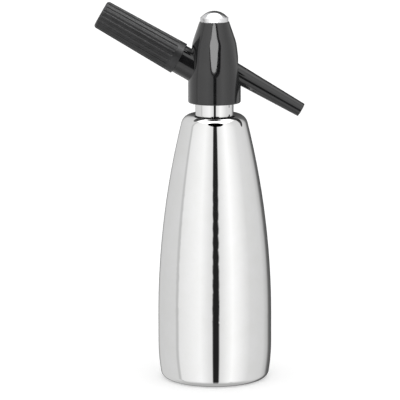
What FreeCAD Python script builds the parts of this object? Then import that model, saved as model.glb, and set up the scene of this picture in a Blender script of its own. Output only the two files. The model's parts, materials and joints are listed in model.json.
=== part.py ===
import FreeCAD, Part

# Soda siphon: a polished metal bottle with a screwed-on black head, a domed push
# button in a chrome collar, a spout on the right and a charger holder on the left.
# Millimetres, +Z up, standing on z = 0. The origin is under the middle of the whole outline,
# and each piece is made round the bottle's axis and moved to its place at the end.
# Pieces on a leaning axis are made upright and then tilted: their heights along that
# axis are called reach, measured from the head's own axis.

import math
import os

from FreeCAD import Vector

# Bottle's axis, from the middle of the whole outline
axis_x = 12.8

# Fits and gaps shared by many pieces
fit = 0.05
running = 0.1
clear = 0.3
seat_gap = 0.25
overshoot = 1.0
ridge_sink = 0.25

# Bottle
bottle_radius = 50.0
bottle_wall = 1.2
shoulder_z = 235.3
swell_z = 141.8
swell_share = 0.9018
shoulder_ledge = 10.42
shoulder_round = 10.5
foot_z = 18.7
foot_round = 170.0
foot_lean = 8.97
corner_round = 6.5
ring_inset = 12.0
ring_round = 2.5
punt_inset = 5.0
punt_round = 6.0
punt_height = 8.0

# Bottle neck and its thread
neck_radius = 16.7
neck_wall = 1.8
neck_edge_round = 0.4
neck_show = 9.7
neck_lap = 1.0
neck_spigot = 4.3
neck_spigot_wall = 1.2
neck_thread_zone = 12.5
neck_thread_depth = 1.3
neck_pitch = 3.0
neck_turns = 3.0
neck_lead = 2.2
tooth_height = 1.2
tooth_base = 1.3
tooth_crest = 0.9
tooth_gap = 0.4

# Riser
tube_radius = 3.2
tube_bore = 2.2
tube_floor_gap = 2.8
ferrule_depth = 4.0
ferrule_flange = 1.2
gasket_height = 1.8
gallery_inner = 5.2
gallery_outer = 10.5
gallery_depth = 1.5
gas_holes = 6
gas_hole_radius = 1.5
gas_hole_circle = 8.0

# Head shell
head_wall = 2.4
foot_edge_round = 1.5
cone_rise = 22.0
cone_round = 120.0
crown_rise = 52.8
crown_inset = 3.78
crown_round = 43.0
top_rise = 71.0
top_inset = 10.1
top_edge_round = 0.8
land_depth = 2.3
land_top_rise = 42.0
land_bottom_rise = 25.0

# Screw insert in the head
insert_recess = 1.5
insert_wall = 3.55
web_height = 2.3

# Valve body
body_radius = 9.0
body_edge_round = 0.8
flange_radius = 11.5
flange_height = 2.2
lock_nut_height = 1.5
lock_nut_gap = 1.1
spigot_gap = 0.3
socket_rise = 3.3
chamber_radius = 4.6
outlet_below = 4.5
outlet_above = 5.0
seat_web = 1.5
seat_bore = 2.7
guide_length = 2.0
pocket_radius = 3.45
pocket_depth = 5.0
o_ring_wire = 0.9
o_rings = 2
riser_seal_wire = 0.8
gas_drill_radius = 1.2
gas_drill_offset = 6.6
gas_drill_past = 4.0

# Push button, stem and spring
collar_inset = 0.65
collar_height = 4.0
collar_wall = 0.6
collar_lip_round = 0.1
collar_edge_round = 0.5
collar_ledge = 0.25
collar_shank = 7.0
collar_shank_wall = 1.4
collar_step = 0.3
button_rim_height = 1.0
button_crown = 5.3
button_skirt_wall = 1.6
button_lip_height = 1.5
button_lip_reach = 0.9
button_boss_radius = 3.2
button_boss_height = 6.0
stem_radius = 1.5
stem_grip = 4.0
stem_collar_radius = 2.2
stem_collar_height = 1.0
disc_radius = 4.1
disc_height = 2.5
stem_nut_height = 2.2
stem_nut_radius = 2.9
gland_plug = 1.35
gland_hex_radius = 7.0
gland_hex_height = 2.0
spring_radius = 5.0
spring_wire = 0.6
spring_turns = 8

# Spout
spout_above_foot = 37.0
spout_drop = 30.0
spout_root_reach = 31.0
spout_root_radius = 7.9
spout_tip_reach = 87.5
spout_tip_radius = 6.15
spout_tip_round = 0.4
spout_bore = 2.6
spout_start = 14.0
spout_stub_radius = 5.2
spout_boss_radius = 5.5
spout_boss_reach = 13.0
nipple_radius = 3.0
nipple_bore = 2.0
nipple_start = 8.0
nipple_flange = 2.5
nipple_grip = 10.0
spout_seal_height = 1.5
spout_seal_radius = 5.0

# Charger neck and gas fitting
holder_above_foot = 21.0
holder_rise = 30.0
neck_tube_radius = 12.85
neck_tube_start = 12.0
neck_tube_end = 35.5
neck_tube_bore = 8.0
spigot_length = 11.5
spigot_core = 10.9
spigot_bore = 5.0
spigot_lead = 1.7
grip_pitch = 2.0
grip_turns = 4.0
grip_tooth_height = 0.8
grip_tooth_base = 0.75
grip_tooth_crest = 0.6
gas_boss_radius = 5.0
gas_boss_reach = 14.0
gas_port_radius = 3.0
gas_port_start = 8.0
gas_bore = 1.0
fitting_flange_start = 24.0
fitting_flange_end = 39.0
fitting_nose_radius = 4.9
fitting_nose = 4.5
pin_base_radius = 1.6
pin_base_length = 5.5
pin_radius = 0.8
pin_bore = 0.3
pin_reach = 4.5
pin_taper = 1.2
charger_seal_height = 1.6
charger_seal_bore = 1.1
ball_radius = 2.0
ball_reach = 20.0
ball_lift = 0.02
ball_chamber_radius = 2.4
ball_chamber_start = 13.5
check_spring_radius = 1.45
check_spring_wire = 0.22
check_spring_turns = 5

# Gas charger, a standard bulb
charger_length = 65.5
charger_radius = 9.1
charger_wall = 1.3
charger_tip_radius = 4.4
charger_tip_length = 8.9
charger_shoulder = 6.5
charger_hole = 1.2
charger_cap_round = 0.5
charger_neck_round = 2.0
charger_shoulder_round = 3.0
charger_end_flat = 0.2

# Charger holder
grip_gap = 0.1
grip_end = 114.1
grip_root_radius = 14.4
grip_end_radius = 12.85
grip_end_round = 2.7
grip_edge_round = 0.5
flutes = 20
flute_radius = 1.6
flute_depth = 0.9
flute_start = 43.5
flute_phase = 5.0
sleeve_wall = 0.6
sleeve_shoulder = 1.3
sleeve_tail_wall = 1.1
cushion_radius = 6.0
cushion_height = 1.6

# Sizes worked out from the ones above
ring_radius = bottle_radius - ring_inset
punt_radius = ring_radius - punt_inset
shoulder_radius = neck_radius + shoulder_ledge
neck_core = neck_radius - neck_thread_depth
neck_bore = neck_core - neck_wall
neck_crest = neck_core + tooth_height
insert_bore = neck_crest + tooth_gap
insert_radius = insert_bore + insert_wall
head_radius = insert_radius + fit + head_wall
crown_radius = head_radius - crown_inset
top_radius = head_radius - top_inset
land_distance = head_radius - land_depth
lock_nut_radius = neck_bore - lock_nut_gap
collar_radius = top_radius - collar_inset
collar_bore = collar_radius - collar_wall
collar_shank_radius = collar_radius - collar_ledge
collar_shank_bore = collar_shank_radius - collar_shank_wall
button_skirt_radius = collar_shank_bore - clear
button_lip_radius = button_skirt_radius + button_lip_reach

# Heights and reaches worked out from the sizes above
neck_band_z = shoulder_z + neck_show + neck_lap
mouth_z = neck_band_z + neck_thread_zone
head_foot_z = shoulder_z + neck_show
head_top_z = head_foot_z + top_rise
gasket_z = mouth_z + ferrule_flange
web_z = gasket_z + gasket_height
web_top_z = web_z + web_height
socket_top_z = web_top_z + socket_rise
spout_z = head_foot_z + spout_above_foot
holder_z = head_foot_z + holder_above_foot
outlet_z = spout_z - outlet_below
seat_z = outlet_z - seat_web
guide_z = spout_z + outlet_above
pocket_z = guide_z + guide_length
body_top_z = pocket_z + pocket_depth
spring_seat_z = body_top_z + gland_hex_height
collar_top_z = head_top_z + collar_height
rim_z = collar_top_z - button_rim_height
collar_foot_z = head_top_z - collar_shank
stem_top_z = rim_z - button_boss_height + stem_grip
disc_z = seat_z - disc_height
gas_drill_top = holder_z + gas_drill_past
charger_cap = fitting_flange_end + fitting_nose + charger_seal_height
charger_end = charger_cap + charger_length
spigot_end = neck_tube_end + spigot_length
spigot_crest = spigot_core + grip_tooth_height
sleeve_thread_bore = spigot_crest + clear
sleeve_radius = sleeve_thread_bore + sleeve_wall
sleeve_bore = charger_radius + clear + fit
sleeve_start = neck_tube_end + 2 * clear
sleeve_step = spigot_end + clear
grip_start = neck_tube_end + grip_gap


# Direction from one corner of an outline to the next, of length one
def heading(start, end):
    across = end[0] - start[0]
    up = end[1] - start[1]
    length = math.hypot(across, up)
    return across / length, up / length


# Closed wire through corners (radius, height) or (radius, height, rounding)
def outline(corners):
    stops = []
    for index, corner in enumerate(corners):
        here = Vector(corner[0], 0, corner[1])
        rounding = corner[2] if len(corner) > 2 else 0
        if rounding <= 0:
            stops.append([here])
            continue
        before = corners[index - 1]
        after = corners[(index + 1) % len(corners)]
        back = Vector(before[0], 0, before[1]) - here
        onward = Vector(after[0], 0, after[1]) - here
        back.normalize()
        onward.normalize()
        half = back.getAngle(onward) / 2
        inward = back + onward
        inward.normalize()
        middle = here + inward * (rounding / math.sin(half) - rounding)
        setback = rounding / math.tan(half)
        stops.append([here + back * setback, middle, here + onward * setback])
    edges = []
    for index, stop in enumerate(stops):
        following = stops[(index + 1) % len(stops)][0]
        if len(stop) == 3:
            edges.append(Part.Arc(stop[0], stop[1], stop[2]).toShape())
        if (following - stop[-1]).Length > 1e-6:
            edges.append(Part.LineSegment(stop[-1], following).toShape())
    return Part.Wire(edges)


# Solid of revolution about Z
def turned(corners):
    return Part.Face(outline(corners)).revolve(Vector(0, 0, 0), Vector(0, 0, 1), 360)


# Ring or tube with square ends
def ring(inner, outer, bottom, top):
    return turned([(inner, bottom), (outer, bottom), (outer, top), (inner, top)])


def rod(radius, bottom, top):
    return Part.makeCylinder(radius, top - bottom, Vector(0, 0, bottom))


# The same run of corners moved to its left by a wall, roundings included
def inset(corners, wall):
    moved = []
    final = len(corners) - 1
    for index, corner in enumerate(corners):
        arriving = heading(corners[index - 1], corner) if index > 0 else None
        leaving = heading(corner, corners[index + 1]) if index < final else arriving
        if arriving is None:
            arriving = leaving
        share = wall / (1 + arriving[0] * leaving[0] + arriving[1] * leaving[1])
        radius = corner[0] - (arriving[1] + leaving[1]) * share
        height = corner[1] + (arriving[0] + leaving[0]) * share
        turn = arriving[0] * leaving[1] - arriving[1] * leaving[0]
        rounding = corner[2] if len(corner) > 2 else 0
        if rounding > 0:
            rounding = rounding - math.copysign(wall, turn)
        moved.append((radius, height, max(rounding, 0)))
    return moved


# Hexagon prism with a round hole
def hexagon(corner_radius, hole, bottom, top):
    points = [Vector(corner_radius, 0, bottom)]
    for side in range(1, 7):
        angle = math.radians(60 * side)
        points.append(Vector(corner_radius * math.cos(angle), corner_radius * math.sin(angle), bottom))
    prism = Part.Face(Part.makePolygon(points)).extrude(Vector(0, 0, top - bottom))
    return prism.cut(rod(hole, bottom - overshoot, top + overshoot))


# Screw ridge: an outer one for a positive height, an inner one for a negative height
def ridge(core, height, base, crest, pitch, turns, start):
    sunk = -math.copysign(ridge_sink, height)
    slope = (base - crest) / 2 / abs(height)
    root = base / 2 + slope * abs(sunk)
    tip = crest / 2
    profile = Part.makePolygon([
        Vector(core + sunk, 0, -root),
        Vector(core + height, 0, -tip),
        Vector(core + height, 0, tip),
        Vector(core + sunk, 0, root),
        Vector(core + sunk, 0, -root),
    ])
    helix = Part.makeHelix(pitch, pitch * turns, core)
    solid = Part.Wire(helix).makePipeShell([profile], True, True)
    solid.translate(Vector(0, 0, start))
    return solid


# Arc from a point along its tangent to an end point
def tangent_arc(start, tangent, end):
    chord = end - start
    along = chord * (1 / chord.Length)
    side = tangent - along * tangent.dot(along)
    side.normalize()
    bulge = chord.Length / 2 * math.tan(tangent.getAngle(chord) / 2)
    return Part.Arc(start, start + chord * 0.5 + side * bulge, end)


# Round wire coil between two heights, as one unbroken tube on two arcs a quarter turn
def coil(radius, wire, turns, bottom, top):
    pitch = (top - bottom - 2 * wire) / turns
    climb = pitch / (2 * math.pi)
    edges = []
    points = []
    steps = 8
    for quarter in range(4 * turns):
        ends = []
        for angle in (quarter * math.pi / 2, (quarter + 1) * math.pi / 2):
            place = Vector(radius * math.cos(angle), radius * math.sin(angle), bottom + wire + climb * angle)
            tangent = Vector(-radius * math.sin(angle), radius * math.cos(angle), climb)
            tangent.normalize()
            ends.append((place, tangent))
        (start, leaving), (end, arriving) = ends
        span = end - start
        both = span.dot(leaving + arriving)
        spread = 2 * (1 - leaving.dot(arriving))
        reach = (math.sqrt(both * both + spread * span.dot(span)) - both) / spread
        middle = (start + leaving * reach + end - arriving * reach) * 0.5
        back = tangent_arc(end, arriving * -1, middle).toShape()
        edges.append(tangent_arc(start, leaving, middle).toShape())
        edges.append(Part.Arc(middle, back.valueAt((back.FirstParameter + back.LastParameter) / 2), end).toShape())
        for edge in edges[-2:]:
            points.extend(edge.discretize(steps + 1)[:-1])
    path = Part.Wire(edges)
    circle = Part.Wire(Part.makeCircle(wire, Vector(radius, 0, bottom + wire), Vector(0, radius, climb)))
    nearest = min((a - b).Length for n, a in enumerate(points) for b in points[n + 6 * steps:])
    print("coil of radius", radius, "has least gap to itself", round(nearest - 2 * wire, 2))
    return path.makePipeShell([circle], True, False)


# Tilts an upright shape onto the spout's axis or the holder's axis
def on_spout(shape):
    placed = shape.copy()
    placed.rotate(Vector(0, 0, 0), Vector(0, 1, 0), 90 + spout_drop)
    placed.translate(Vector(0, 0, spout_z))
    return placed


def on_holder(shape):
    placed = shape.copy()
    placed.rotate(Vector(0, 0, 0), Vector(0, 1, 0), holder_rise - 90)
    placed.translate(Vector(0, 0, holder_z))
    return placed


# Outer run of the bottle from the middle of the hollow foot to the middle of the shoulder
def bottle_run():
    foot_corner = bottle_radius - foot_z * math.tan(math.radians(foot_lean))
    lean = math.atan2(bottle_radius - shoulder_radius, shoulder_z - swell_z)
    swell_round = swell_share * (shoulder_z - swell_z) / math.cos(lean) / math.tan(lean / 2)
    return [
        (0, punt_height),
        (punt_radius, punt_height, punt_round),
        (ring_radius, 0, ring_round),
        (foot_corner, 0, corner_round),
        (bottle_radius, foot_z, foot_round),
        (bottle_radius, swell_z, swell_round),
        (shoulder_radius, shoulder_z, shoulder_round),
        (0, shoulder_z),
    ]


def bottle_shell():
    run = bottle_run()
    hole = rod(neck_bore + neck_spigot_wall + fit, shoulder_z - neck_spigot, shoulder_z + overshoot)
    return turned(run).cut(turned(inset(run, bottle_wall))).cut(hole)


def neck_collar():
    collar = turned([
        (neck_bore, shoulder_z - neck_spigot),
        (neck_bore + neck_spigot_wall, shoulder_z - neck_spigot),
        (neck_bore + neck_spigot_wall, shoulder_z),
        (neck_radius, shoulder_z),
        (neck_radius, neck_band_z, neck_edge_round),
        (neck_core, neck_band_z),
        (neck_core, mouth_z, neck_edge_round),
        (neck_bore, mouth_z, neck_edge_round),
    ])
    thread = ridge(neck_core, tooth_height, tooth_base, tooth_crest, neck_pitch, neck_turns, neck_band_z + neck_lead)
    return collar.fuse(thread)


def dip_tube():
    return ring(tube_bore, tube_radius, punt_height + bottle_wall + tube_floor_gap, socket_top_z - clear)


def tube_ferrule():
    body = turned([
        (tube_radius + fit, mouth_z - ferrule_depth),
        (neck_bore - clear, mouth_z - ferrule_depth),
        (neck_bore - clear, mouth_z),
        (neck_core, mouth_z),
        (neck_core, gasket_z),
        (tube_radius + fit, gasket_z),
    ])
    body = body.cut(ring(gallery_inner, gallery_outer, gasket_z - gallery_depth, gasket_z + overshoot))
    for hole in range(gas_holes):
        drill = rod(gas_hole_radius, mouth_z - ferrule_depth - overshoot, gasket_z)
        drill.translate(Vector(gas_hole_circle, 0, 0))
        drill.rotate(Vector(0, 0, 0), Vector(0, 0, 1), 360 * hole / gas_holes)
        body = body.cut(drill)
    return body


def head_gasket():
    return ring(neck_bore, neck_core, gasket_z, web_z)


# Outer run of the head from its foot to the middle of its top
def head_run():
    return [
        (head_radius, head_foot_z, foot_edge_round),
        (head_radius, head_foot_z + cone_rise, cone_round),
        (crown_radius, head_foot_z + crown_rise, crown_round),
        (top_radius, head_top_z, top_edge_round),
        (0, head_top_z),
    ]


def head_cavity():
    run = [(head_radius, head_foot_z)] + head_run()[1:]
    return turned([(0, head_foot_z)] + inset(run, head_wall))


def spout_radius(reach):
    share = (reach - spout_root_reach) / (spout_tip_reach - spout_root_reach)
    return spout_root_radius + (spout_tip_radius - spout_root_radius) * share


# Outside of the spout from inside the head to its tip
def spout_cone(extra, end):
    return on_spout(turned([
        (0, spout_start),
        (spout_radius(spout_start) + extra, spout_start),
        (spout_radius(end) + extra, end, spout_tip_round),
        (0, end),
    ]))


def head_shell():
    shell = turned([(0, head_foot_z)] + head_run()).cut(head_cavity())
    shell = shell.cut(rod(collar_shank_radius + fit, collar_foot_z - overshoot, head_top_z + overshoot))
    land = Part.makeBox(
        head_radius, 2 * head_radius, land_top_rise - land_bottom_rise,
        Vector(land_distance, -head_radius, head_foot_z + land_bottom_rise),
    )
    shell = shell.cut(land)
    shell = shell.cut(spout_cone(fit, spout_tip_reach))
    return shell.cut(on_holder(rod(neck_tube_radius + fit, neck_tube_start, neck_tube_end)))


def thread_insert():
    body = turned([
        (insert_bore, head_foot_z + insert_recess),
        (insert_radius, head_foot_z + insert_recess),
        (insert_radius, web_top_z),
        (body_radius + fit, web_top_z),
        (body_radius + fit, web_z),
        (insert_bore, web_z),
    ])
    start = neck_band_z + neck_lead + neck_pitch / 2
    thread = ridge(insert_bore, -tooth_height, tooth_base, tooth_crest, neck_pitch, neck_turns, start)
    return body.fuse(thread)


def valve_body():
    seal_z = (web_z + web_top_z) / 2
    body = turned([
        (0, gasket_z + spigot_gap),
        (body_radius, gasket_z + spigot_gap),
        (body_radius, web_top_z),
        (flange_radius, web_top_z),
        (flange_radius, web_top_z + flange_height),
        (body_radius, web_top_z + flange_height),
        (body_radius, body_top_z, body_edge_round),
        (0, body_top_z),
    ])
    body = body.fuse(on_spout(rod(spout_boss_radius, 0, spout_boss_reach)))
    body = body.fuse(on_holder(rod(gas_boss_radius, chamber_radius, gas_boss_reach)))
    body = body.cut(rod(tube_radius + clear, gasket_z, socket_top_z + running))
    body = body.cut(rod(tube_radius + running + 2 * riser_seal_wire + fit,
                        seal_z - riser_seal_wire - fit, seal_z + riser_seal_wire + fit))
    body = body.cut(rod(chamber_radius, socket_top_z, seat_z))
    body = body.cut(rod(seat_bore, seat_z - overshoot, outlet_z + overshoot))
    body = body.cut(rod(chamber_radius, outlet_z, guide_z))
    body = body.cut(rod(stem_radius + running, guide_z - overshoot, pocket_z + overshoot))
    body = body.cut(rod(pocket_radius, pocket_z, body_top_z + overshoot))
    body = body.cut(on_spout(rod(nipple_bore, 0, spout_boss_reach)))
    body = body.cut(on_spout(rod(nipple_radius + fit, nipple_start, spout_boss_reach + overshoot)))
    body = body.cut(on_holder(rod(gas_port_radius + fit, gas_port_start, gas_boss_reach + overshoot)))
    drill = rod(gas_drill_radius, gasket_z, gas_drill_top)
    drill.translate(Vector(-gas_drill_offset, 0, 0))
    return body.cut(drill)


def valve_lock_nut():
    return ring(body_radius + fit, lock_nut_radius, web_z - lock_nut_height, web_z)


def riser_seal():
    seal_z = (web_z + web_top_z) / 2
    middle = tube_radius + running + riser_seal_wire
    return Part.makeTorus(middle, riser_seal_wire, Vector(0, 0, seal_z))


def stem_o_rings():
    middle = stem_radius + running + o_ring_wire
    seals = []
    for number in range(o_rings):
        height = pocket_z + o_ring_wire + number * 2 * o_ring_wire
        seals.append(Part.makeTorus(middle, o_ring_wire, Vector(0, 0, height)))
    return Part.makeCompound(seals)


def gland_nut():
    head = hexagon(gland_hex_radius, stem_radius + running, body_top_z, spring_seat_z)
    plug = ring(stem_radius + running, pocket_radius - fit, body_top_z - gland_plug, body_top_z)
    return head.fuse(plug)


def return_spring():
    return coil(spring_radius, spring_wire, spring_turns, spring_seat_z, rim_z)


def button_collar():
    return turned([
        (collar_shank_bore, collar_foot_z),
        (collar_shank_radius, collar_foot_z),
        (collar_shank_radius, head_top_z),
        (collar_radius, head_top_z),
        (collar_radius, collar_top_z, collar_edge_round),
        (collar_bore, collar_top_z, collar_lip_round),
        (collar_bore, head_top_z - collar_step),
        (collar_shank_bore, head_top_z - collar_step),
    ])


def push_button():
    rim = collar_bore - clear
    sphere = (rim * rim + button_crown * button_crown) / (2 * button_crown)
    middle_z = collar_top_z + button_crown - sphere
    cap = rod(rim, rim_z, collar_top_z + button_crown + overshoot).common(Part.makeSphere(sphere, Vector(0, 0, middle_z)))
    skirt_inner = button_skirt_radius - button_skirt_wall
    lip_z = collar_foot_z - button_lip_height
    skirt = ring(skirt_inner, button_skirt_radius, lip_z, rim_z)
    lip = ring(skirt_inner, button_lip_radius, lip_z, collar_foot_z)
    boss = ring(stem_radius + fit, button_boss_radius, rim_z - button_boss_height, rim_z)
    return cap.fuse(skirt).fuse(lip).fuse(boss).removeSplitter()


def valve_stem():
    foot_z = disc_z - stem_nut_height
    collar = rod(stem_collar_radius, seat_z, seat_z + stem_collar_height)
    return rod(stem_radius, foot_z, stem_top_z).fuse(collar)


def valve_seal_disc():
    return ring(stem_radius + fit, disc_radius, disc_z, seat_z)


def stem_nut():
    return hexagon(stem_nut_radius, stem_radius + fit, disc_z - stem_nut_height, disc_z)


def spout_tube():
    stub_start = spout_boss_reach + nipple_flange + spout_seal_height
    grip_end_reach = stub_start + nipple_grip
    tube = spout_cone(0, spout_tip_reach).cut(head_cavity())
    tube = tube.fuse(on_spout(rod(spout_stub_radius, stub_start, grip_end_reach + overshoot)))
    tube = tube.cut(on_spout(rod(nipple_radius + fit, stub_start - overshoot, grip_end_reach)))
    return tube.cut(on_spout(rod(spout_bore, stub_start, spout_tip_reach + overshoot)))


def spout_nipple():
    start = nipple_start + running
    flange_end = spout_boss_reach + nipple_flange
    end = flange_end + spout_seal_height + nipple_grip - running
    tube = ring(nipple_bore, nipple_radius, start, end)
    return on_spout(tube.fuse(hexagon(spout_boss_radius, nipple_bore, spout_boss_reach, flange_end)))


def spout_seal():
    start = spout_boss_reach + nipple_flange
    return on_spout(ring(nipple_radius + fit, spout_seal_radius, start, start + spout_seal_height))


def charger_neck():
    tube = on_holder(rod(neck_tube_radius, neck_tube_start, neck_tube_end)).cut(head_cavity())
    spigot = rod(spigot_core, neck_tube_end - overshoot, spigot_end)
    thread = ridge(spigot_core, grip_tooth_height, grip_tooth_base, grip_tooth_crest,
                   grip_pitch, grip_turns, neck_tube_end + spigot_lead)
    tube = tube.fuse(on_holder(spigot.fuse(thread)))
    tube = tube.cut(on_holder(rod(neck_tube_bore + fit, neck_tube_start - overshoot, fitting_flange_end)))
    return tube.cut(on_holder(rod(spigot_bore, neck_tube_start, spigot_end + overshoot)))


def pierce_fitting():
    nose_end = fitting_flange_end + fitting_nose
    ball_seat = ball_reach + math.sqrt(ball_radius ** 2 - gas_bore ** 2) + ball_lift
    return on_holder(turned([
        (gas_bore, gas_port_start + running),
        (gas_port_radius, gas_port_start + running),
        (gas_port_radius, gas_boss_reach),
        (gas_boss_radius, gas_boss_reach),
        (gas_boss_radius, fitting_flange_start),
        (neck_tube_bore, fitting_flange_start),
        (neck_tube_bore, fitting_flange_end),
        (fitting_nose_radius, fitting_flange_end),
        (fitting_nose_radius, nose_end),
        (pin_base_radius + fit, nose_end),
        (pin_base_radius + fit, nose_end - pin_base_length),
        (gas_bore, nose_end - pin_base_length),
        (gas_bore, ball_seat),
        (ball_chamber_radius, ball_seat),
        (ball_chamber_radius, ball_chamber_start),
        (gas_bore, ball_chamber_start),
    ]))


def piercing_pin():
    base_end = fitting_flange_end + fitting_nose
    return on_holder(turned([
        (pin_bore, base_end - pin_base_length),
        (pin_base_radius, base_end - pin_base_length),
        (pin_base_radius, base_end),
        (pin_radius, base_end),
        (pin_radius, base_end + pin_reach - pin_taper),
        (pin_bore + fit, base_end + pin_reach),
        (pin_bore, base_end + pin_reach),
    ]))


def charger_seal():
    return on_holder(ring(charger_seal_bore, fitting_nose_radius, charger_cap - charger_seal_height, charger_cap))


def check_spring():
    side = check_spring_radius + check_spring_wire
    top = ball_reach - math.sqrt(ball_radius ** 2 - check_spring_radius ** 2) - fit
    print("check spring reaches", round(side, 2), "of the chamber's", ball_chamber_radius)
    return on_holder(coil(check_spring_radius, check_spring_wire, check_spring_turns, ball_chamber_start, top))


def check_ball():
    return on_holder(Part.makeSphere(ball_radius, Vector(0, 0, ball_reach)))


def gas_charger():
    shoulder_start = charger_cap + charger_tip_length
    run = [
        (0, charger_cap),
        (charger_tip_radius, charger_cap, charger_cap_round),
        (charger_tip_radius, shoulder_start, charger_neck_round),
        (charger_radius, shoulder_start + charger_shoulder, charger_shoulder_round),
        (charger_radius, charger_end, charger_radius - charger_end_flat),
        (0, charger_end),
    ]
    bulb = turned(run).cut(turned(inset(run, charger_wall)))
    return on_holder(bulb.cut(rod(charger_hole, charger_cap - overshoot, charger_cap + charger_wall + overshoot)))


def grip_radius(reach):
    share = (reach - neck_tube_end) / (grip_end - neck_tube_end)
    return grip_root_radius + (grip_end_radius - grip_root_radius) * share


# Cutter of one flute: a leaning round bar with a ball at its inner end
def flute_cutter():
    near = Vector(grip_radius(flute_start) - flute_depth + flute_radius, 0, flute_start)
    far = Vector(grip_radius(grip_end) - flute_depth + flute_radius, 0, grip_end + overshoot)
    bar = Part.makeCylinder(flute_radius, (far - near).Length, near, far - near)
    return bar.fuse(Part.makeSphere(flute_radius, near))


def holder_grip():
    shoulder = sleeve_step + sleeve_shoulder
    tail_bore = sleeve_bore + sleeve_tail_wall + fit
    cushion_start = charger_end + seat_gap
    grip = turned([
        (sleeve_radius + fit, grip_start),
        (grip_radius(grip_start), grip_start, grip_edge_round),
        (grip_radius(grip_end), grip_end, grip_end_round),
        (0, grip_end),
        (0, cushion_start + cushion_height),
        (cushion_radius + fit, cushion_start + cushion_height),
        (cushion_radius + fit, cushion_start + fit),
        (tail_bore, cushion_start + fit),
        (tail_bore, shoulder + fit),
        (sleeve_radius + fit, shoulder + fit),
    ])
    cutter = flute_cutter()
    cutters = []
    for number in range(flutes):
        bar = cutter.copy()
        bar.rotate(Vector(0, 0, 0), Vector(0, 0, 1), flute_phase - 90 + 360 * number / flutes)
        cutters.append(bar)
    return on_holder(grip.cut(cutters))


def holder_sleeve():
    shoulder = sleeve_step + sleeve_shoulder
    sleeve = turned([
        (sleeve_thread_bore, sleeve_start),
        (sleeve_radius, sleeve_start),
        (sleeve_radius, shoulder),
        (sleeve_bore + sleeve_tail_wall, shoulder),
        (sleeve_bore + sleeve_tail_wall, charger_end + seat_gap),
        (sleeve_bore, charger_end + seat_gap),
        (sleeve_bore, sleeve_step),
        (sleeve_thread_bore, sleeve_step),
    ])
    start = neck_tube_end + spigot_lead + grip_pitch / 2
    thread = ridge(sleeve_thread_bore, -grip_tooth_height, grip_tooth_base, grip_tooth_crest,
                   grip_pitch, grip_turns, start)
    return on_holder(sleeve.fuse(thread))


def holder_cushion():
    start = charger_end + seat_gap
    return on_holder(rod(cushion_radius, start, start + cushion_height))


pieces = {
    "bottle_shell": bottle_shell,
    "neck_collar": neck_collar,
    "dip_tube": dip_tube,
    "tube_ferrule": tube_ferrule,
    "head_gasket": head_gasket,
    "head_shell": head_shell,
    "thread_insert": thread_insert,
    "valve_body": valve_body,
    "valve_lock_nut": valve_lock_nut,
    "riser_seal": riser_seal,
    "stem_o_rings": stem_o_rings,
    "gland_nut": gland_nut,
    "return_spring": return_spring,
    "button_collar": button_collar,
    "push_button": push_button,
    "valve_stem": valve_stem,
    "valve_seal_disc": valve_seal_disc,
    "stem_nut": stem_nut,
    "spout_tube": spout_tube,
    "spout_nipple": spout_nipple,
    "spout_seal": spout_seal,
    "charger_neck": charger_neck,
    "pierce_fitting": pierce_fitting,
    "piercing_pin": piercing_pin,
    "charger_seal": charger_seal,
    "check_spring": check_spring,
    "check_ball": check_ball,
    "gas_charger": gas_charger,
    "holder_grip": holder_grip,
    "holder_sleeve": holder_sleeve,
    "holder_cushion": holder_cushion,
}

os.makedirs("parts", exist_ok=True)
for name, make in pieces.items():
    shape = make()
    shape.translate(Vector(axis_x, 0, 0))
    sound = "sound" if shape.isValid() else "not sound"
    print(name, len(shape.Solids), "solid,", round(shape.Volume, 1), "mm3,", sound)
    shape.exportStep("parts/" + name + ".step")
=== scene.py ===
import json
import math

import bpy
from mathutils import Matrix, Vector


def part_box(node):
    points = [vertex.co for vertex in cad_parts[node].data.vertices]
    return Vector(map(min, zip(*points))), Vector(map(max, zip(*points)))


# Soda siphon on a white studio floor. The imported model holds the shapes, and this script gives
# each piece its real finish, lays the studio light round it and sets the camera.

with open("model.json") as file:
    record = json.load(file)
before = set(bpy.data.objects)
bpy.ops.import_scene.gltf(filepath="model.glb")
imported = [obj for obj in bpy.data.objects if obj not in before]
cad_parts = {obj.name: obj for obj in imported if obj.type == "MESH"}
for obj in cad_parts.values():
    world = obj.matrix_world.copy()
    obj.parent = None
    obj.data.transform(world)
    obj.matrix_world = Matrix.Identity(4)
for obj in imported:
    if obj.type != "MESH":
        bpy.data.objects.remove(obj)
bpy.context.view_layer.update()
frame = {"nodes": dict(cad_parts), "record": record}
nodes = frame["nodes"]
print("frame loaded:", len(nodes), "nodes")


# sRGB hex to the linear colour that Blender's sockets take
def colour(hexCode, alpha=1.0):
    channels = []
    for start in (0, 2, 4):
        value = int(hexCode[start:start + 2], 16) / 255
        channels.append(value / 12.92 if value <= 0.04045 else ((value + 0.055) / 1.055) ** 2.4)
    return (*channels, alpha)


# Adds a node, sets its properties and plain inputs, and links what is given as a socket. An
# underscore in an input's name stands for a space, and i0 or i1 for a socket's number.
def addNode(tree, kind, settings=None, **inputs):
    node = tree.nodes.new(kind)
    for name, value in (settings or {}).items():
        setattr(node, name, value)
    for name, value in inputs.items():
        numbered = name[0] == "i" and name[1:].isdigit()
        socket = node.inputs[int(name[1:]) if numbered else name.replace("_", " ")]
        if isinstance(value, bpy.types.NodeSocket):
            tree.links.new(value, socket)
        else:
            socket.default_value = value
    return node


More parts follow.
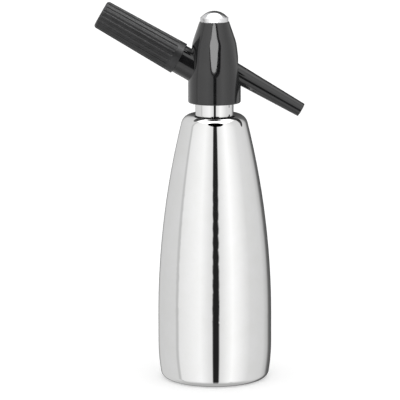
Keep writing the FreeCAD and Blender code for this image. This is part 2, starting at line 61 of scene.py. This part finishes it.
# A new material with its shader's own constants set, and the place to read patterns from
def startMaterial(name, baseHex, metallic, roughness, **constants):
    material = bpy.data.materials.new(name)
    material.use_nodes = True
    tree = material.node_tree
    shader = tree.nodes["Principled BSDF"]
    shader.inputs["Base Color"].default_value = colour(baseHex)
    shader.inputs["Metallic"].default_value = metallic
    shader.inputs["Roughness"].default_value = roughness
    for socket, value in constants.items():
        shader.inputs[socket.replace("_", " ")].default_value = value
    place = addNode(tree, "ShaderNodeTexCoord").outputs["Object"]
    return material, tree, shader, place


# Colour that wavers between two close tones, as real surfaces do
def toneVariation(tree, shader, place, darkHex, lightHex, patchMm):
    noise = addNode(tree, "ShaderNodeTexNoise", Vector=place, Scale=1000 / patchMm, Detail=3.0, Roughness=0.55)
    ramp = addNode(tree, "ShaderNodeValToRGB", Fac=noise.outputs["Fac"])
    ramp.color_ramp.elements[0].position = 0.3
    ramp.color_ramp.elements[0].color = colour(darkHex)
    ramp.color_ramp.elements[1].position = 0.7
    ramp.color_ramp.elements[1].color = colour(lightHex)
    tree.links.new(ramp.outputs["Color"], shader.inputs["Base Color"])


# Roughness that runs between two values over a noise of a real grain size
def roughnessVariation(tree, shader, place, low, high, grainMm):
    noise = addNode(tree, "ShaderNodeTexNoise", Vector=place, Scale=1000 / grainMm, Detail=4.0, Roughness=0.6)
    spread = addNode(tree, "ShaderNodeMapRange", Value=noise.outputs["Fac"], From_Min=0.3, From_Max=0.7,
                     To_Min=low, To_Max=high)
    tree.links.new(spread.outputs["Result"], shader.inputs["Roughness"])


def bumpFrom(tree, shader, height, distanceMm, strength):
    bump = addNode(tree, "ShaderNodeBump", Height=height, Distance=distanceMm / 1000, Strength=strength)
    tree.links.new(bump.outputs["Normal"], shader.inputs["Normal"])


# Fine level rings that a lathe tool leaves, so far apart. A wave of scale 1 repeats each tenth
# of pi metres.
def toolRings(tree, shader, place, ringMm, wander, depthMm, strength):
    rings = addNode(tree, "ShaderNodeTexWave", {"bands_direction": "Z"}, Vector=place,
                    Scale=math.pi / 10 * 1000 / ringMm, Distortion=wander)
    bumpFrom(tree, shader, rings.outputs["Fac"], depthMm, strength)


# Steel sheet, drawn and mirror polished: a clear reflection with a faint haze and the level
# hairlines that spinning leaves
polishedSteelSizes = {"hazeMm": 14.0, "hairlineMm": 0.35, "hairlineStretch": 14.0, "hairlineDepthMm": 0.0005}


def polishedSteel():
    sizes = polishedSteelSizes
    material, tree, shader, place = startMaterial("mirrorPolishedSteel", "F6F6F5", 1.0, 0.035)
    toneVariation(tree, shader, place, "F4F4F3", "F7F7F7", sizes["hazeMm"])
    roughnessVariation(tree, shader, place, 0.022, 0.036, sizes["hazeMm"])
    stretched = addNode(tree, "ShaderNodeMapping", Vector=place, Scale=(1.0, 1.0, sizes["hairlineStretch"]))
    hairline = addNode(tree, "ShaderNodeTexNoise", Vector=stretched.outputs["Vector"],
                       Scale=1000 / (sizes["hairlineMm"] * sizes["hairlineStretch"]), Detail=2.0)
    bumpFrom(tree, shader, hairline.outputs["Fac"], sizes["hairlineDepthMm"], 0.05)
    return material


# Brass under bright chrome plate: the button's dome mirrors the studio almost cleanly
chromeSizes = {"toneMm": 5.0, "hazeMm": 3.0}


def chromePlate():
    material, tree, shader, place = startMaterial("brightChromePlate", "F2F3F4", 1.0, 0.04)
    toneVariation(tree, shader, place, "ECEDEF", "F6F6F6", chromeSizes["toneMm"])
    roughnessVariation(tree, shader, place, 0.03, 0.075, chromeSizes["hazeMm"])
    return material


# The collar's plate is laid over a brushed band: it glows evenly and mirrors nothing sharply
satinChromeSizes = {"toneMm": 4.0, "ringMm": 0.754}


def satinChromePlate():
    material, tree, shader, place = startMaterial("satinChromePlate", "EFEFF0", 1.0, 0.42)
    toneVariation(tree, shader, place, "E8E8EA", "F4F4F4", satinChromeSizes["toneMm"])
    toolRings(tree, shader, place, satinChromeSizes["ringMm"], 0.5, 0.004, 0.2)
    return material


# ABS moulded in a polished tool and lacquered: deep black with a hard gloss and a trace of
# orange peel
glossBlackSizes = {"peelMm": 2.4, "toneMm": 18.0}


def glossBlack():
    material, tree, shader, place = startMaterial(
        "lacqueredBlackAbs", "151516", 0.0, 0.09,
        IOR=1.53, Coat_Weight=0.6, Coat_Roughness=0.03, Coat_IOR=1.5)
    toneVariation(tree, shader, place, "111112", "1A1A1B", glossBlackSizes["toneMm"])
    roughnessVariation(tree, shader, place, 0.07, 0.13, glossBlackSizes["toneMm"])
    peel = addNode(tree, "ShaderNodeTexNoise", Vector=place, Scale=1000 / glossBlackSizes["peelMm"], Detail=1.5)
    bumpFrom(tree, shader, peel.outputs["Fac"], 0.002, 0.2)
    return material


# Glass-filled nylon moulded with a spark-eroded satin skin: soft highlights on the ribs
satinBlackSizes = {"grainMm": 0.45, "toneMm": 9.0, "sheenMm": 3.0}


def satinBlack():
    material, tree, shader, place = startMaterial("satinBlackNylon", "2B2B2C", 0.0, 0.34, IOR=1.52)
    toneVariation(tree, shader, place, "262627", "313132", satinBlackSizes["toneMm"])
    roughnessVariation(tree, shader, place, 0.32, 0.44, satinBlackSizes["sheenMm"])
    grain = addNode(tree, "ShaderNodeTexNoise", Vector=place, Scale=1000 / satinBlackSizes["grainMm"], Detail=2.0)
    bumpFrom(tree, shader, grain.outputs["Fac"], 0.02, 0.35)
    return material


# Extruded polythene riser tube, milky and slightly waxy
def milkyPolythene():
    material, tree, shader, place = startMaterial(
        "milkyPolythene", "DDE3E4", 0.0, 0.3, IOR=1.51, Subsurface_Weight=0.25, Subsurface_Scale=0.004)
    toneVariation(tree, shader, place, "D6DDDE", "E6EAEA", 25.0)
    roughnessVariation(tree, shader, place, 0.24, 0.36, 6.0)
    return material


# Acetal turned from bar, with fine tool rings
def whiteAcetal():
    material, tree, shader, place = startMaterial("turnedAcetal", "E9E8E3", 0.0, 0.35, IOR=1.48)
    toneVariation(tree, shader, place, "E3E2DC", "EFEEEA", 4.0)
    toolRings(tree, shader, place, 0.157, 0.4, 0.01, 0.3)
    return material


# Moulded nitrile rubber with a dusty matt bloom
def nitrileRubber():
    material, tree, shader, place = startMaterial("nitrileRubber", "1E1E1E", 0.0, 0.7, IOR=1.52)
    toneVariation(tree, shader, place, "191919", "2A2A29", 2.0)
    roughnessVariation(tree, shader, place, 0.6, 0.82, 1.2)
    return material


# Metal turned on a lathe: fine rings that catch the light
def turnedMetal(name, baseHex, darkHex, lightHex, roughness, ringMm=0.66):
    material, tree, shader, place = startMaterial(name, baseHex, 1.0, roughness)
    toneVariation(tree, shader, place, darkHex, lightHex, 6.0)
    roughnessVariation(tree, shader, place, roughness - 0.05, roughness + 0.08, 1.5)
    toolRings(tree, shader, place, ringMm, 0.6, 0.006, 0.25)
    return material


finishes = {
    "polished_steel": polishedSteel(),
    "chrome": chromePlate(),
    "satin_chrome": satinChromePlate(),
    "gloss_black": glossBlack(),
    "satin_black": satinBlack(),
    "clear_tube": milkyPolythene(),
    "white_plastic": whiteAcetal(),
    "black_rubber": nitrileRubber(),
    "brass": turnedMetal("turnedBrass", "C8A25A", "BC964E", "D2AE68", 0.22),
    "nickel_brass": turnedMetal("nickelPlatedBrass", "CFC9BA", "C6C0B0", "D8D3C6", 0.18),
    "spring_steel": turnedMetal("brightSpringSteel", "B9BBBD", "AEB0B2", "C4C6C8", 0.2, 0.377),
    "zinc_steel": turnedMetal("zincPlatedSteel", "C3C5C8", "B8BABD", "CDD0D3", 0.3, 2.262),
    "aluminium": turnedMetal("turnedAluminium", "D2D3D5", "C8C9CB", "DBDCDD", 0.26),
}
# Where the eye finds another finish than the record's slot: the brushed collar, and the insert's
# blackened foot, which shows as a thin line under the head
ownFinish = {"button_collar": "satin_chrome", "thread_insert": "satin_black"}
for part in frame["record"]["subparts"]:
    piece = nodes[part["node"]]
    piece.data.materials.clear()
    piece.data.materials.append(finishes[ownFinish.get(part["node"], part["material_slot"])])
print("finishes laid on", len(nodes), "nodes")


bottleLow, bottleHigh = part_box("bottle_shell")
axisX = (bottleLow.x + bottleHigh.x) / 2


# A round or oval card of the studio that only shows in reflections, and whose glow its flags
# keep to the pieces named
def studioCard(name, hexCode, strength, place, turn, halfWidth, halfHeight, litPieces):
    bpy.ops.object.select_all(action="DESELECT")
    bpy.ops.mesh.primitive_circle_add(vertices=64, radius=1, fill_type="NGON", location=place, rotation=turn)
    card = bpy.context.object
    card.name = name
    card.scale = (halfWidth, halfHeight, 1)
    card.visible_camera = card.visible_diffuse = card.visible_shadow = False
    material = bpy.data.materials.new(name)
    material.use_nodes = True
    tree = material.node_tree
    tree.nodes.clear()
    glow = addNode(tree, "ShaderNodeEmission", Color=colour(hexCode), Strength=strength)
    addNode(tree, "ShaderNodeOutputMaterial", Surface=glow.outputs["Emission"])
    card.data.materials.append(material)
    litOnly = bpy.data.collections.new(name + "Lights")
    for pieceName in litPieces:
        litOnly.objects.link(nodes[pieceName])
    card.light_linking.receiver_collection = litOnly


# The light tent's cloth walls as the polished metal mirrors them: degrees round from the front,
# to the right, and the tone that a wall has there
tentWalls = [
    (-180, "404040"), (-170, "606060"),  # open side of the tent behind, dark
    (-160, "B0B0B0"), (-150, "C4C4C4"), (-88, "CCCCCC"),  # left wall
    (-85, "B8B8B8"), (-81, "B8B8B8"),  # its seam
    (-78, "DCDCDC"), (-30, "F0F0F0"), (-5.4, "D4D4D4"),  # front left wall
    (-4.0, "202020"), (8.0, "202020"),  # gap where the camera looks in
    (9.4, "D4D4D4"), (36, "F8F8F8"),  # front right wall
    (77, "D0D0D0"), (117, "C8C8C8"), (133, "B0B0B0"),  # right wall
    (144, "606060"), (180, "404040")]

# Heights are the upward part of a direction of length 1: the walls brighten a little from the
# low one to the high one, the lit roof starts above them and the table below
tentSizes = {"lowHeight": -0.2, "highHeight": 0.25, "lowGlow": 1.15, "highGlow": 1.2,
             "roofStart": 0.74, "roofEnd": 0.88, "roofGlow": 2.2,
             "tableStart": -0.6, "tableEnd": -0.9, "tableTone": "B4B4B4"}


def tent():
    sizes = tentSizes
    world = bpy.data.worlds.new("whiteTent")
    bpy.context.scene.world = world
    world.use_nodes = True
    tree = world.node_tree
    tree.nodes.clear()
    way = addNode(tree, "ShaderNodeTexCoord").outputs["Generated"]
    axes = addNode(tree, "ShaderNodeSeparateXYZ", Vector=way).outputs

    forward = addNode(tree, "ShaderNodeMath", {"operation": "MULTIPLY"}, i0=axes["Y"], i1=-1.0)
    turn = addNode(tree, "ShaderNodeMath", {"operation": "ARCTAN2"}, i0=axes["X"], i1=forward.outputs[0])
    share = addNode(tree, "ShaderNodeMapRange", Value=turn.outputs[0], From_Min=-math.pi, From_Max=math.pi)
    walls = addNode(tree, "ShaderNodeValToRGB", Fac=share.outputs["Result"])
    stops = walls.color_ramp.elements
    while len(stops) > 1:
        stops.remove(stops[-1])
    for index, (degrees, tone) in enumerate(tentWalls):
        stop = stops[0] if index == 0 else stops.new((degrees + 180) / 360)
        stop.position = (degrees + 180) / 360
        stop.color = colour(tone)

    rise = addNode(tree, "ShaderNodeMapRange", Value=axes["Z"], From_Min=sizes["lowHeight"],
                   From_Max=sizes["highHeight"], To_Min=sizes["lowGlow"], To_Max=sizes["highGlow"])
    wallGlow = addNode(tree, "ShaderNodeBackground", Color=walls.outputs["Color"], Strength=rise.outputs["Result"])
    roofGlow = addNode(tree, "ShaderNodeBackground", Color=colour("FFFFFF"), Strength=sizes["roofGlow"])
    tableGlow = addNode(tree, "ShaderNodeBackground", Color=colour(sizes["tableTone"]), Strength=1.0)
    plainWhite = addNode(tree, "ShaderNodeBackground", Color=colour("FFFFFF"), Strength=1.0)

    roof = addNode(tree, "ShaderNodeMapRange", Value=axes["Z"], From_Min=sizes["roofStart"],
                   From_Max=sizes["roofEnd"])
    upper = addNode(tree, "ShaderNodeMixShader", i0=roof.outputs["Result"],
                    i1=wallGlow.outputs[0], i2=roofGlow.outputs[0])
    table = addNode(tree, "ShaderNodeMapRange", Value=axes["Z"], From_Min=sizes["tableStart"],
                    From_Max=sizes["tableEnd"])
    mirrored = addNode(tree, "ShaderNodeMixShader", i0=table.outputs["Result"],
                       i1=upper.outputs[0], i2=tableGlow.outputs[0])

    # mirrored rays meet the tent, and all others plain white
    ray = addNode(tree, "ShaderNodeLightPath").outputs
    inMetal = addNode(tree, "ShaderNodeMixShader", i0=ray["Is Glossy Ray"],
                      i1=plainWhite.outputs[0], i2=mirrored.outputs[0])
    seen = addNode(tree, "ShaderNodeMath", {"operation": "MAXIMUM"},
                   i0=ray["Is Camera Ray"], i1=ray["Is Transmission Ray"])
    whole = addNode(tree, "ShaderNodeMixShader", i0=seen.outputs[0],
                    i1=inMetal.outputs[0], i2=plainWhite.outputs[0])
    addNode(tree, "ShaderNodeOutputWorld", Surface=whole.outputs[0])
    print("tent hung")


floorSizes = {"side": 8.0, "drop": 0.0002, "lift": 0.14}  # lift: what brings the seen floor to white


def studioFloor():
    bpy.ops.object.select_all(action="DESELECT")
    bpy.ops.mesh.primitive_plane_add(size=floorSizes["side"], location=(0, 0, -floorSizes["drop"]))
    floor = bpy.context.object
    floor.name = "studioFloor"
    floor.visible_glossy = False
    material = bpy.data.materials.new("whiteSweep")
    material.use_nodes = True
    tree = material.node_tree
    shader = tree.nodes["Principled BSDF"]
    shader.inputs["Base Color"].default_value = colour("FBFBFB")
    shader.inputs["Roughness"].default_value = 1.0
    shader.inputs["Specular IOR Level"].default_value = 0.0
    shader.inputs["Emission Color"].default_value = colour("FFFFFF")
    ray = addNode(tree, "ShaderNodeLightPath")
    lift = addNode(tree, "ShaderNodeMath", {"operation": "MULTIPLY"},
                   i0=ray.outputs["Is Camera Ray"], i1=floorSizes["lift"])
    tree.links.new(lift.outputs[0], shader.inputs["Emission Strength"])
    floor.data.materials.append(material)
    print("floor laid")


# Small oval lamp close in front of the head, on its black frame, too near for the bottle to mirror
softboxSizes = {"away": 0.11, "across": -0.003, "height": 0.332, "halfWidth": 0.042, "halfHeight": 0.049,
                "frame": 0.01, "frameShift": 0.012, "frameBehind": 0.005, "power": 4.4}

# Long lamp over the charger holder, in line with it, that lights the crests of its upper ribs
stripLampSizes = {"slant": 30, "above": 0.1, "forward": 0.03,
                  "halfLength": 0.065, "halfDepth": 0.02, "power": 5.0}


def lamps():
    box = softboxSizes
    upright = (math.pi / 2, 0, 0)
    litPieces = ("head_shell", "push_button", "button_collar")
    middle = Vector((axisX + box["across"], -box["away"], box["height"]))
    studioCard("softbox", "FFFFFF", box["power"], middle, upright, box["halfWidth"], box["halfHeight"], litPieces)
    behind = middle + Vector((box["frameShift"], -box["frameBehind"], 0))
    studioCard("softboxFrame", "0A0A0A", 1.0, behind, upright,
               box["halfWidth"] + box["frame"] + box["frameShift"], box["halfHeight"] + box["frame"], litPieces)

    strip = stripLampSizes
    low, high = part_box("holder_grip")
    slant = math.radians(strip["slant"])
    over = Vector((math.sin(slant), 0, math.cos(slant))) * strip["above"]
    place = (low + high) / 2 + over + Vector((0, -strip["forward"], 0))
    studioCard("stripLamp", "FFFFFF", strip["power"], place, (0, slant, 0),
               strip["halfLength"], strip["halfDepth"], ("holder_grip", "push_button", "button_collar"))
    print("lamps hung")


cameraSizes = {"away": 2.25, "height": 0.55, "lens": 233.6, "sensor": 36.0,
               "aimX": -0.0129, "aimZ": 0.1585, "roll": -0.16}


def camera():
    data = bpy.data.cameras.new("productCamera")
    data.lens = cameraSizes["lens"]
    data.sensor_width = cameraSizes["sensor"]
    eye = bpy.data.objects.new("productCamera", data)
    bpy.context.scene.collection.objects.link(eye)
    eye.location = (axisX, -cameraSizes["away"], cameraSizes["height"])
    aim = Vector((axisX + cameraSizes["aimX"], 0, cameraSizes["aimZ"]))
    eye.rotation_euler = (aim - eye.location).to_track_quat("-Z", "Y").to_euler()
    eye.rotation_euler.rotate_axis("Z", math.radians(cameraSizes["roll"]))
    bpy.context.scene.camera = eye
    print("camera set")


tent()
studioFloor()
lamps()
camera()
bpy.context.scene.view_settings.view_transform = "Standard"
